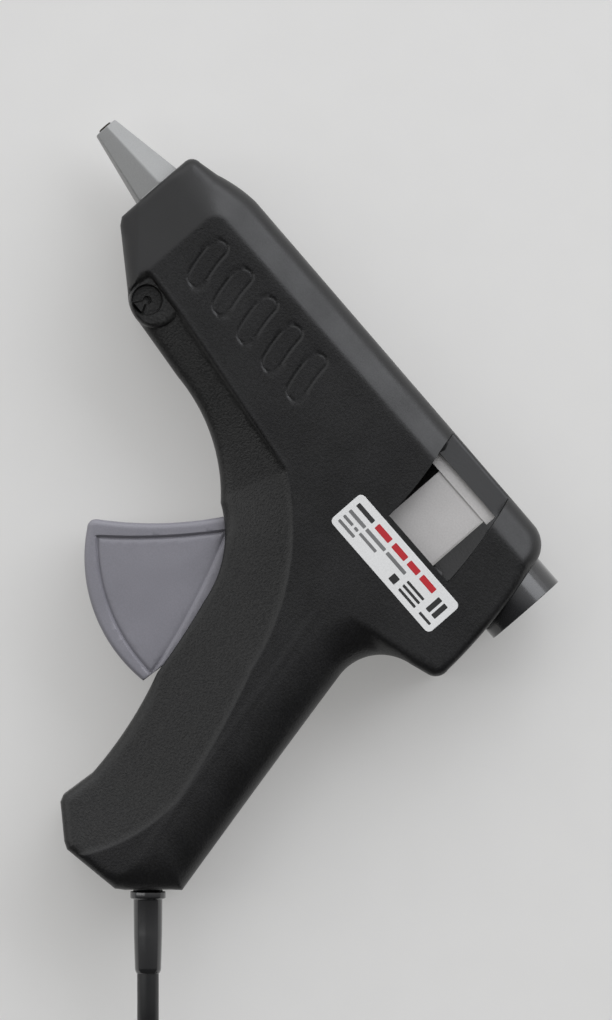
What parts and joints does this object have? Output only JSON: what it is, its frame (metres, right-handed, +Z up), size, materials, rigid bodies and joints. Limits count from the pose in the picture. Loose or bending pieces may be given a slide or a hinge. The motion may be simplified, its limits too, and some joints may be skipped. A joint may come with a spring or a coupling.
{
  "type": "glue gun",
  "caption": "Trigger-fed hot-melt glue gun with a see-through feed window, capped nozzle, clamshell pistol housing and a coiled mains lead with plug.",
  "frame": {"origin": "centre of the gun's bounding box without its lead, on the surface that its right side lies on", "axes": "+X back along the barrel, from the nozzle to the stick inlet; +Y to the gun's top, with the grip towards -Y; +Z up, out of the gun's left side"},
  "size_m": [0.3416, 0.2281, 0.034],
  "materials": {
    "housing_plastic": "fine spark texture",
    "steel_screw": "zinc plated",
    "grey_silicone": "smooth satin",
    "brass": "turned",
    "bright_steel": "polished",
    "spring_steel": "drawn wire",
    "cast_aluminium": "die cast",
    "insulator": "moulded phenolic",
    "ptc_ceramic": "sintered",
    "electrode": "rolled sheet",
    "film": "polyimide film",
    "red_silicone": "smooth satin",
    "carriage_plastic": "moulded satin",
    "inlet_plastic": "moulded semi-gloss",
    "trigger_plastic": "moulded satin",
    "label": "printed, laminated",
    "cord_jacket": "soft satin",
    "wire_insulation": "glass-fibre sleeved",
    "relief_rubber": "soft satin",
    "plug_plastic": "moulded satin",
    "plated_pin": "nickel plated"
  },
  "bodies": {
    "housing": {"left_shell": "housing_plastic", "right_shell": "housing_plastic", "housing_screws": "steel_screw", "nozzle_cover": "grey_silicone", "nozzle_tip": "brass", "ball_spring": "spring_steel", "melt_chamber": "cast_aluminium", "chamber_bush": "insulator", "ptc_heater": "ptc_ceramic", "heater_electrodes": "electrode", "heater_film": "film", "heater_clip": "spring_steel", "inlet_sleeve": "red_silicone", "sleeve_clamp": "spring_steel", "return_spring": "spring_steel", "inlet_guide": "inlet_plastic", "trigger_pin": "bright_steel", "rating_label": "label", "cord_tail": "cord_jacket", "lead_wires": "wire_insulation", "crimp_sleeves": "electrode", "cord_clamp": "insulator", "clamp_screws": "steel_screw", "strain_relief": "relief_rubber", "power_cord": "cord_jacket", "cord_coil": "cord_jacket", "cord_end": "cord_jacket", "plug_body": "plug_plastic", "plug_pins": "plated_pin"},
    "trigger": {"trigger": "trigger_plastic", "drive_pin": "bright_steel"},
    "carriage": {"feed_carriage": "carriage_plastic", "gripper_pin": "bright_steel"},
    "gripper": {"stick_gripper": "bright_steel"},
    "valve": {"check_ball": "bright_steel"}
  },
  "joints": [
    {"name": "trigger_pull", "type": "hinge", "parent": "housing", "child": "trigger", "pos_m": [0.02725, 0.0115, 0.017], "axis": [0, 0, 1], "range_deg": [0, 20], "stiffness_Nm_per_rad": 0.3, "springref_deg": -20.05},
    {"name": "carriage_slide", "type": "slide", "parent": "housing", "child": "carriage", "axis": [-1, 0, 0], "range_m": [0, 0.0114], "deforming": ["return_spring"]},
    {"name": "gripper_bite", "type": "hinge", "parent": "carriage", "child": "gripper", "pos_m": [0.05875, 0.0711, 0.017], "axis": [0, 0, 1], "range_deg": [0, 8.5]},
    {"name": "valve_lift", "type": "slide", "parent": "housing", "child": "valve", "axis": [-1, 0, 0], "range_m": [0, 0.0012], "stiffness_N_per_m": 120, "springref_m": -0.003, "deforming": ["ball_spring"]}
  ],
  "couplings": [
    {"joint": "carriage_slide", "follows": "trigger_pull", "m_per_rad": 0.032372},
    {"joint": "gripper_bite", "follows": "trigger_pull", "ratio": 0.4}
  ]
}
